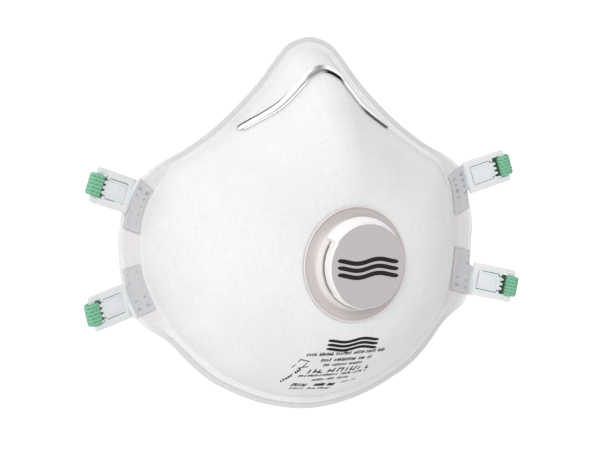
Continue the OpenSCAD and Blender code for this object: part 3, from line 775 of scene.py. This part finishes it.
def weld_dots(plate, side, dark_end):
    """Geometry nodes that set a melted dot at each weld, in two rows of five; the dots grow
    largest towards dark_end, where they paint the shade on that end of the plate."""
    share = np.tile(np.linspace(0, 1, 7)[1:-1], 2)
    spots = [on_plate(plate[0] + (plate[3] - plate[0]) * k, v, plate[4], PLATE_THICK)
             for k, v in zip(share, np.repeat((0.36, 0.78), 5))]
    rows = bpy.data.meshes.new("weld_spots")
    rows.from_pydata([(side * p[0] * MM, p[1] * MM, p[2] * MM) for p in spots], [], [])
    # Painted shade: the dots grow towards dark_end to darken that end of the plate.
    heat = 0.6 + 0.9 * np.clip((0.42 - np.abs(share - dark_end)) / 0.2, 0, 1)
    rows.attributes.new("heat", "FLOAT", "POINT").data.foreach_set("value", heat)
    tree = bpy.data.node_groups.new("weld_dots", "GeometryNodeTree")
    tree.interface.new_socket("Geometry", in_out="INPUT", socket_type="NodeSocketGeometry")
    size_in = tree.interface.new_socket("Dot radius", in_out="INPUT", socket_type="NodeSocketFloat")
    tree.interface.new_socket("Geometry", in_out="OUTPUT", socket_type="NodeSocketGeometry")
    given = tree.nodes.new("NodeGroupInput")
    result = tree.nodes.new("NodeGroupOutput")
    ball = add(tree, "GeometryNodeMeshUVSphere", {"Segments": 14, "Rings": 8})
    tree.links.new(given.outputs["Dot radius"], ball.inputs["Radius"])
    flat = add(tree, "GeometryNodeTransform",
               {"Geometry": ball.outputs["Mesh"], "Scale": (1.0, 1.0, 0.3)})
    grown = add(tree, "FunctionNodeRandomValue", {"Seed": 11})
    grown.inputs[2].default_value = 0.75
    grown.inputs[3].default_value = 1.1
    heat = add(tree, "GeometryNodeInputNamedAttribute", {"Name": "heat"}, data_type="FLOAT")
    sized = add(tree, "ShaderNodeMath", {0: grown.outputs[1], 1: heat.outputs["Attribute"]},
                operation="MULTIPLY")
    dots = add(tree, "GeometryNodeInstanceOnPoints",
               {"Points": given.outputs["Geometry"], "Instance": flat.outputs["Geometry"],
                "Scale": sized.outputs["Value"]})
    real = add(tree, "GeometryNodeRealizeInstances", {"Geometry": dots.outputs["Instances"]})
    coat = add(tree, "GeometryNodeSetMaterial", {"Geometry": real.outputs["Geometry"]})
    coat.inputs["Material"].default_value = weld_dot_painted_shade
    tree.links.new(coat.outputs["Geometry"], result.inputs["Geometry"])
    holder = put("weld_spots", rows)
    nodes = holder.modifiers.new("dots", "NODES")
    nodes.node_group = tree
    nodes[size_in.identifier] = 0.5 * MM
    shown = holder.evaluated_get(bpy.context.evaluated_depsgraph_get())
    made = bpy.data.meshes.new_from_object(shown)
    bpy.data.objects.remove(holder)
    return made


def weld_plate_mesh(name, plate, side):
    """The thin plate on the flange, and the wider neck that joins it to the frame."""
    start, neck_start, neck_end, end, slant = plate
    rows = [(t, NECK_OUTER) for t in np.linspace(neck_start, neck_end, 9)]
    if neck_start > start:
        rows = [(t, PLATE_OUTER) for t in np.linspace(start, neck_start - 0.05, 5)] + rows
    if end > neck_end:
        rows += [(t, PLATE_OUTER) for t in np.linspace(neck_end + 0.05, end, 5)]
    first, last = rows[0], rows[-1]
    rows = [first, (first[0] + 0.03, first[1])] + rows[1:-1] + [(last[0] - 0.03, last[1]), last]
    verts = []
    for k, (t, outer) in enumerate(rows):
        top = PLATE_THICK - (0.3 if k in (0, len(rows) - 1) else 0)
        groove = 0.3 if outer > 1 else 0.05
        section = [(outer - 0.02, 0), (outer, 0.3), (outer, 0.6), (outer - 0.03, top - 0.05),
                   (outer - 0.08, top), (outer - 0.16, top), (outer - 0.19, top - groove),
                   (outer - 0.24, top - groove), (outer - 0.27, top), (0.55, top), (0.25, top),
                   (PLATE_INNER + 0.05, top - 0.05), (PLATE_INNER, 0.55), (PLATE_INNER, 0.3),
                   (PLATE_INNER + 0.02, 0), (0.5, 0), (0.7, 0)]
        verts += [on_plate(t, v, slant, h) for v, h in section]
    faces = swept(len(rows), len(section))
    mesh = bpy.data.meshes.new(name)
    mesh.from_pydata([(side * p[0] * MM, p[1] * MM, p[2] * MM) for p in verts], [], faces)
    if side < 0:
        mesh.flip_normals()
    mesh.polygons.foreach_set("use_smooth", [True] * len(mesh.polygons))
    mesh.set_sharp_from_angle(angle=0.6)
    return mesh


def joined(name, meshes, finish, body):
    """Several meshes as one piece with one finish."""
    whole = merged(name, meshes)
    whole.materials.clear()
    whole.materials.append(finish)
    for face in whole.polygons:
        face.material_index = 0
    made = put(name, whole)
    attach(made, body)
    return made


PLATE_UPPER_RIGHT = (6.9, 6.9, 8.1, 8.75, -0.34)
PLATE_UPPER_LEFT = (7.05, 7.05, 8.3, 8.92, -0.34)
PLATE_LOWER = (10.5, 11.15, 12.3, 12.3, 0.3)
# The last column is dark_end: where along its plate the weld dots grow largest, as painted shade.
CLIPS = (("upper_right", UPPER_RIGHT, PLATE_UPPER_RIGHT, 1, 0.4),
         ("upper_left", UPPER_LEFT, PLATE_UPPER_LEFT, -1, 0.0),
         ("lower_right", LOWER_CLIP, PLATE_LOWER, 1, 1.0),
         ("lower_left", LOWER_CLIP, PLATE_LOWER, -1, 1.0))
for where, clip, plate, side, dark_end in CLIPS:
    frame_part = clip_frame_mesh("frame_" + where)
    place_in_clip(frame_part, clip, side)
    plate_part = weld_plate_mesh("plate_" + where, plate, side)
    buckle = joined("buckle_" + where, [frame_part, plate_part], clip_pp, "mask")
    root, toward = clip_world(clip, 0, 0, side), clip_world(clip, 1, 0, side)
    along = [np.dot(np.array(v.co) / MM - root, toward - root) for v in buckle.data.vertices]
    store(buckle, "thin", np.clip((1.1 - np.array(along)) / 0.6, 0, 1))
    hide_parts("clip_" + where)
    joined("weld_dots_" + where, [weld_dots(plate, side, dark_end)], weld_dot_painted_shade, "mask")
    blade = tongue_mesh("blade_" + where)
    place_in_clip(blade, clip, side)
    tongue = joined("toothed_tongue_" + where, [blade], clip_pp, "lock_" + where)
    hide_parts("tongue_" + where)

# ---------------------------------------------------------------------------------------------
# Exhalation valve: a dished base moulded with its collar, seat and spokes, a clear silicone
# flap clamped along its upper edge, a cap with a hood above and slits round the rest, and a
# ring inside the cup that nips the webs against the base.
# ---------------------------------------------------------------------------------------------
BASE_R = 19.6
COLLAR_R = 14.9
CAP_R = 14.4
NECK_R = 14.6
WALL = 1.2
FLAP_R = 12.0
FACE_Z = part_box("valve_cap")[1][2] / MM
SLIT_Z = CROWN + 4.4
SLIT_GAP = 0.6
SEAT_Z = CROWN + 3.0
HOOD_FROM, HOOD_TO = 38.0, 143.0
FEET = (145.0, 220.0, 266.0, 311.0, 36.0)


def moulded_plastic(name, dark, light, rough, painted_tone=None):
    """Finish of a satin injection moulding: a fine spark-eroded grain over faint flow marks.
    A second tone is painted where the piece is marked for painted light and shade, and painted shade
    darkens its slits."""
    finish, tree, base, _, colour = grained(name, dark, light, 120.0, rough, detail=3.0)
    # Painted light and shade: this attribute mixes in the second tone.
    if painted_tone:
        painted_light_and_shade = add(tree, "ShaderNodeAttribute", attribute_name="painted_light_and_shade")
        colour = add(tree, "ShaderNodeMix",
                     {"Factor": painted_light_and_shade.outputs["Fac"], "A": colour, "B": (*painted_tone, 1)},
                     data_type="RGBA").outputs["Result"]
    # Painted shade: near black where this attribute marks the slit between collar and cap.
    dust = add(tree, "ShaderNodeAttribute", attribute_name="dust")
    dusty = add(tree, "ShaderNodeMix",
                {"Factor": dust.outputs["Fac"], "A": colour, "B": (0.03, 0.028, 0.027, 1)},
                data_type="RGBA")
    tree.links.new(dusty.outputs["Result"], base.inputs["Base Color"])
    spot = add(tree, "ShaderNodeTexCoord")
    grain = add(tree, "ShaderNodeTexNoise",
                {"Vector": spot.outputs["Object"], "Scale": 2600.0, "Detail": 2.0})
    dented(tree, base, grain.outputs["Fac"], 0.15, 0.00005)
    return finish


def turned(name, profile, segments=160, shape=None):
    """A mesh turned about the valve's axis from a closed section of (radius, height) points."""
    angles = np.arange(segments) * 2 * math.pi / segments
    rings = []
    for r, z in profile:
        radius = np.full(segments, float(r))
        height = np.full(segments, float(z))
        if shape:
            radius, height = shape(np.degrees(angles), radius, height)
        rings.append(np.column_stack([radius * np.cos(angles), VALVE_Y + radius * np.sin(angles),
                                      height]))
    mesh = bpy.data.meshes.new(name)
    mesh.from_pydata((np.concatenate(rings) * MM).tolist(), [],
                     ring_faces(len(profile), segments, True))
    mesh.polygons.foreach_set("use_smooth", [True] * len(mesh.polygons))
    mesh.set_sharp_from_angle(angle=0.75)
    return mesh


def bar_mesh(name, corners_low, corners_high, width=0.12):
    """A straight bar between two opposite corners in mm, with its edges rounded."""
    xs, ys, (low, high) = zip(corners_low, corners_high)
    mesh = bpy.data.meshes.new(name)
    mesh.from_pydata(*(lambda v, f: (v, [], f))(*cut_plate(xs, ys, lambda x, y: True, low, high)))
    soften(mesh, width)
    for v in mesh.vertices:
        v.co *= MM
    return mesh


def arc(cx, cz, radius, from_deg, to_deg, steps=6):
    """Points of a round corner in a section."""
    return [(cx + radius * math.cos(math.radians(a)), cz + radius * math.sin(math.radians(a)))
            for a in np.linspace(from_deg, to_deg, steps)]


# The body's darker grey stands in for painted shade over its dished base; its second tone is a cream,
# painted light on the collar's outer wall and along a fine line round the rim.
valve_grey = moulded_plastic("valve_body_plastic", (0.52, 0.47, 0.475), (0.57, 0.52, 0.525), 0.36,
                             painted_tone=(0.88, 0.84, 0.81))
base_z = CROWN + 0.1
base_section = ([(NECK_R - 1.4, base_z), (BASE_R - 0.1, base_z)]
                + arc(BASE_R - 0.3, base_z + 0.62, 0.3, 0, 150, 6)
                + [(BASE_R - 0.75, base_z + 0.5), (BASE_R - 1.2, base_z + 0.36),
                   (BASE_R - 2.0, base_z + 0.4), (BASE_R - 2.9, base_z + 0.55),
                   (BASE_R - 3.5, base_z + 0.85), (COLLAR_R + 0.55, base_z + 1.35),
                   (COLLAR_R + 0.3, base_z + 1.9), (COLLAR_R + 0.12, base_z + 2.5),
                   (COLLAR_R, base_z + 3.2), (COLLAR_R - 0.02, SLIT_Z - 0.2)]
                + arc(COLLAR_R - 0.2, SLIT_Z - 0.18, 0.18, 0, 90, 4)
                + [(COLLAR_R - WALL, SLIT_Z), (COLLAR_R - WALL, base_z + 0.9),
                   (NECK_R - 1.4, base_z + 0.9)])
seat_section = ([(NECK_R - 0.8, CROWN + 0.8)] + arc(NECK_R - 1.0, SEAT_Z - 0.2, 0.2, 0, 90, 4)
                + arc(FLAP_R - 1.0, SEAT_Z - 0.2, 0.2, 90, 180, 4)
                + [(FLAP_R - 1.2, CROWN + 0.8)])
neck_section = [(NECK_R - 1.4, CROWN - 4.4), (NECK_R, CROWN - 4.4), (NECK_R, CROWN + 0.6),
                (NECK_R - 1.4, CROWN + 0.6)]
hub_section = [(0.02, SEAT_Z - 1.6), (2.2, SEAT_Z - 1.6), (2.2, SEAT_Z - 0.6),
               (2.0, SEAT_Z - 0.4), (0.02, SEAT_Z - 0.4)]
parts = [turned("base", base_section), turned("seat", seat_section, 96),
         turned("neck", neck_section, 96), turned("hub", hub_section, 40)]
for spin in (45, 135, 225, 315):
    spoke = bar_mesh("spoke", (1.5, -0.7, SEAT_Z - 1.6), (NECK_R - 1.5, 0.7, SEAT_Z - 0.4))
    spoke.transform(Matrix.Translation((0, VALVE_Y * MM, 0))
                    @ Matrix.Rotation(math.radians(spin), 4, "Z"))
    parts.append(spoke)
valve_base = joined("valve_base", parts, valve_grey, "mask")
base_at = np.array([v.co for v in valve_base.data.vertices]) / MM - (0, VALVE_Y, 0)
base_reach = np.hypot(base_at[:, 0], base_at[:, 1])
# Painted light: the collar's outer wall above the dish, and a fine line round the rim's top.
store(valve_base, "painted_light_and_shade", np.where(base_reach > COLLAR_R - 0.1,
                                     np.clip((base_at[:, 2] - base_z - 0.9) / 0.8, 0, 1), 0)
      + 0.8 * np.exp(-((base_reach - BASE_R + 0.2) / 0.25) ** 2) * (base_at[:, 2] > base_z + 0.5))
# Painted shade: near black on the collar's inner wall above the seat, inside the slit under the cap.
in_slit = ((base_reach < COLLAR_R - 0.25) & (base_reach > COLLAR_R - WALL - 0.1)
           & (base_at[:, 2] > SEAT_Z))
store(valve_base, "dust", 0.75 * in_slit)
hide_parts("valve_body")


SETBACK = ((0, 0.6), (37.5, 0.6), (38.5, 0), (142.5, 0), (143.5, 0.35), (221.5, 0.35),
           (222.5, 0), (265.5, 0), (266.5, 0.45), (310.5, 0.45), (311.5, 0.6), (360, 0.6))


def hood(angle, radius, height):
    """Flares the cap's wall between the hood's two ends, where it reaches down to the collar."""
    from_ends = np.minimum(angle - HOOD_FROM, HOOD_TO - angle)
    share = np.clip(from_ends / 1.5 + 0.5, 0, 1)
    foot = np.min([np.abs((angle - a + 180) % 360 - 180) for a in FEET], axis=0)
    share = np.maximum(share, np.clip((4.2 - foot) / 0.8, 0, 1) * 0.8)
    low = SLIT_Z + 0.05
    below = np.clip((FACE_Z - 0.6 - height) / (FACE_Z - 0.6 - (SLIT_Z + SLIT_GAP)), 0, 1)
    outer = radius > CAP_R - 0.75
    setback = np.interp(angle, *zip(*SETBACK))
    radius = np.where(outer, radius - setback, radius)
    flare = np.where(outer, 1.9 * below ** 1.3 * np.clip(from_ends / 1.5 + 0.5, 0, 1), 0)
    at_foot = height < SLIT_Z + SLIT_GAP + 0.05
    return radius + flare, np.where(at_foot, height + (low - height) * share, height)


# The cap's walls keep the light plastic and its face gets the darker second tone: painted light and
# shade on one plastic.
cap_grey = moulded_plastic("valve_cap_plastic", (0.86, 0.84, 0.83), (0.90, 0.88, 0.87), 0.4,
                           painted_tone=(0.51, 0.475, 0.475))
skirt_z = SLIT_Z + SLIT_GAP
cap_section = ([(0.02, FACE_Z)] + [(r, FACE_Z) for r in np.linspace(2, CAP_R - 0.8, 8)]
               + arc(CAP_R - 0.35, FACE_Z - 0.35, 0.35, 80, 0, 5)
               + [(CAP_R, z) for z in np.linspace(FACE_Z - 0.7, skirt_z, 8)]
               + [(CAP_R - WALL, skirt_z), (CAP_R - WALL, FACE_Z - 1.2), (0.02, FACE_Z - 1.2)])
cap = joined("valve_cap_shell", [turned("cap", cap_section[::-1], 360, hood)], cap_grey, "mask")
# Painted shade: the darker tone over the cap's face.
store(cap, "painted_light_and_shade", [v.co.z > (FACE_Z - 0.03) * MM
                      and math.hypot(v.co.x, v.co.y - VALVE_Y * MM) < (CAP_R - 0.2) * MM
                      for v in cap.data.vertices])
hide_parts("valve_cap")

silicone, _, silicone_shader, _, _ = grained(
    "flap_silicone", (0.82, 0.81, 0.76), (0.88, 0.87, 0.83), 300.0, 0.35)
set_inputs(silicone_shader, {"Subsurface Weight": 0.4, "Subsurface Scale": 0.002})
HINGE_Y = 8.2
half_open = math.degrees(math.asin(HINGE_Y / FLAP_R))
rim_angles = np.radians(np.linspace(180 - half_open, 360 + half_open, 90))
flap_plan = np.column_stack([np.cos(rim_angles), np.sin(rim_angles)]) * FLAP_R
flap_low, flap_high = SEAT_Z + 0.05, SEAT_Z + 0.55
count = len(flap_plan)
flap_rings = [(0.985, flap_low), (1.0, flap_low + 0.15), (1.0, flap_high - 0.15), (0.985, flap_high)]
flap_verts = [(x * s, VALVE_Y + min(y * s, HINGE_Y), z) for s, z in flap_rings for x, y in flap_plan]
flap_faces = ring_faces(4, count, False)
flap_faces += [tuple(reversed(range(count))), tuple(3 * count + j for j in range(count))]
flap = piece("silicone_flap", flap_verts, flap_faces, silicone, body="flap")
flap.data.set_sharp_from_angle(angle=0.8)
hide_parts("valve_flap")

clamp = joined("flap_clamp_bar",
               [bar_mesh("bar", (-7, VALVE_Y + HINGE_Y + 0.2, SEAT_Z + 0.02),
                         (7, VALVE_Y + HINGE_Y + 2.2, SEAT_Z + 1.42), 0.25)],
               valve_grey, "mask")
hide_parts("flap_clamp")
ring_low, ring_high = CROWN - 4.0, CROWN - 2.6
inner_section = ([(NECK_R + 0.05, ring_low)] + arc(17.2, ring_low + 0.3, 0.3, -90, 0, 5)
                 + arc(17.2, ring_high - 0.3, 0.3, 0, 90, 5) + [(NECK_R + 0.05, ring_high)])
inner_ring = joined("inner_valve_ring", [turned("ring", inner_section, 120)], valve_grey, "mask")
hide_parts("valve_inner_ring")

# ---------------------------------------------------------------------------------------------
# Printing: black ink, pad-printed on the valve's cap and on the chin side of the cover.
# The cap carries a plain airflow mark of three waves; the cup carries rows of plain bars.
# ---------------------------------------------------------------------------------------------
ink, _, ink_shader, _, _ = grained(
    "black_ink", (0.008, 0.008, 0.01), (0.035, 0.033, 0.035), 1800.0, 0.75, detail=3.0)
ink_shader.inputs["Specular IOR Level"].default_value = 0.1



def strokes(name, lines, lay):
    """Inked lines, each a run of plan points with its half widths, laid on a face by lay."""
    verts, faces = [], []
    for line, half in lines:
        line = np.asarray(line, dtype=float)
        way = np.gradient(line, axis=0)
        beside = np.column_stack([-way[:, 1], way[:, 0]]) / np.hypot(*way.T)[:, None]
        left, right = line + beside * np.c_[half], line - beside * np.c_[half]
        rings = [lay(right, 0.01), lay(left, 0.01), lay(left, 0.06), lay(right, 0.06)]
        first, last = len(verts), len(verts) + 4 * (len(line) - 1)
        verts += list(np.stack(rings, 1).reshape(-1, 3))
        faces += [tuple(first + j for j in f) for f in ring_faces(len(line), 4, False)]
        faces += [tuple(first + j for j in (3, 2, 1, 0)), tuple(last + j for j in range(4))]
    made = piece(name, verts, faces, ink, smooth_shade=False)
    solid = bmesh.new()
    solid.from_mesh(made.data)
    bmesh.ops.recalc_face_normals(solid, faces=solid.faces)
    solid.to_mesh(made.data)
    solid.free()
    return made


def waves(x, y, width, pitch, half, swing):
    """The airflow mark: three waves, one over the other, with round ends."""
    along = np.linspace(-1, 1, 61)
    thick = half * np.sqrt(np.clip(1 - np.abs(along) ** 14, 0.02, 1))
    return [(np.column_stack([x + along * width / 2,
                              y + row * pitch + swing * np.sin(along * 1.5 * math.pi)]), thick)
            for row in (-1, 0, 1)]


def on_cap(plan, lift):
    """Points of the cap's face."""
    return np.column_stack([plan, np.full(len(plan), FACE_Z + lift)])


def on_cup(plan, lift):
    """Points of the cup over the plan, found by a few straight steps along its surface."""
    t, u = 18 - 0.095 * plan[:, 0], 0.41 - 0.0275 * (plan[:, 1] + 39)
    for _ in range(10):
        here = cup(t, u)[:, :2]
        a, b = (cup(t + 0.01, u)[:, :2] - here) * 100, (cup(t, u + 0.001)[:, :2] - here) * 1000
        off = plan - here
        area = a[:, 0] * b[:, 1] - a[:, 1] * b[:, 0]
        t = t + (off[:, 0] * b[:, 1] - off[:, 1] * b[:, 0]) / area
        u = u + (a[:, 0] * off[:, 1] - a[:, 1] * off[:, 0]) / area
    return cup(t, u) + cup_normals(t, u) * lift


PRINT_ROWS = (
    ((-14.4, -41.6), (16.0, -41.9), 1.25, 0.85, 0.22), ((-8.7, -44.0), (11.0, -44.2), 1.25, 0.95, 0.26),
    ((-7.2, -46.1), (7.6, -46.0), 0.95, 0.8, 0.2), ((-11.0, -48.3), (12.2, -48.2), 1.9, 1.7, 0.26),
    ((-13.4, -50.3), (12.0, -50.0), 0.9, 1.0, 0.2), ((-7.7, -52.2), (6.2, -51.9), 0.9, 1.0, 0.2),
    ((-13.2, -54.1), (-8.0, -54.4), 1.5, 1.1, 0.27), ((-5.2, -54.4), (2.4, -54.8), 1.4, 1.0, 0.42),
    ((5.0, -54.2), (10.8, -53.5), 0.8, 1.0, 0.18), ((-12.8, -55.8), (1.4, -56.6), 0.8, 1.0, 0.18),
    ((-18.0, -52.4), (-14.4, -47.0), 1.3, 0.75, 0.2))
chance = np.random.RandomState(5)
marks = waves(1.2, -38.7, 20, 1.5, 0.5, 0.45)
for start, end, tall, pitch, half in PRINT_ROWS:
    start, end = np.array(start), np.array(end)
    way = (end - start) / np.linalg.norm(end - start)
    upright = np.array([-way[1] + 0.25 * way[0], way[0] + 0.25 * way[1]])
    since_gap = 0
    for k in np.arange(0, np.linalg.norm(end - start), pitch):
        since_gap += 1
        if since_gap > 3 and chance.rand() < 0.22:
            since_gap = 0
            continue
        foot = start + way * k - upright * tall / 2
        head = foot + upright * tall * (0.7 + 0.3 * chance.rand())
        marks.append((np.array([foot, (foot + head) / 2, head]), np.full(3, half)))
        if chance.rand() < 0.45:
            middle = foot + upright * tall * (0.1 + 0.75 * chance.rand())
            marks.append((np.array([middle, middle + way * pitch * 0.8]), np.full(2, half * 0.8)))
marks += [(np.array(line), np.full(len(line), 0.16))
          for line in (((-17.6, -46.6), (-16.0, -43.4)), ((-16.0, -43.4), (-12.8, -44.4)),
                       ((-15.6, -46.9), (-12.4, -46.4)), ((-14.2, -46.4), (-13.4, -44.8)))]
strokes("cap_print", waves(0, VALVE_Y - 0.5, 23, 2.35, 0.74, 0.62), on_cap)
strokes("cover_print", marks, on_cup)
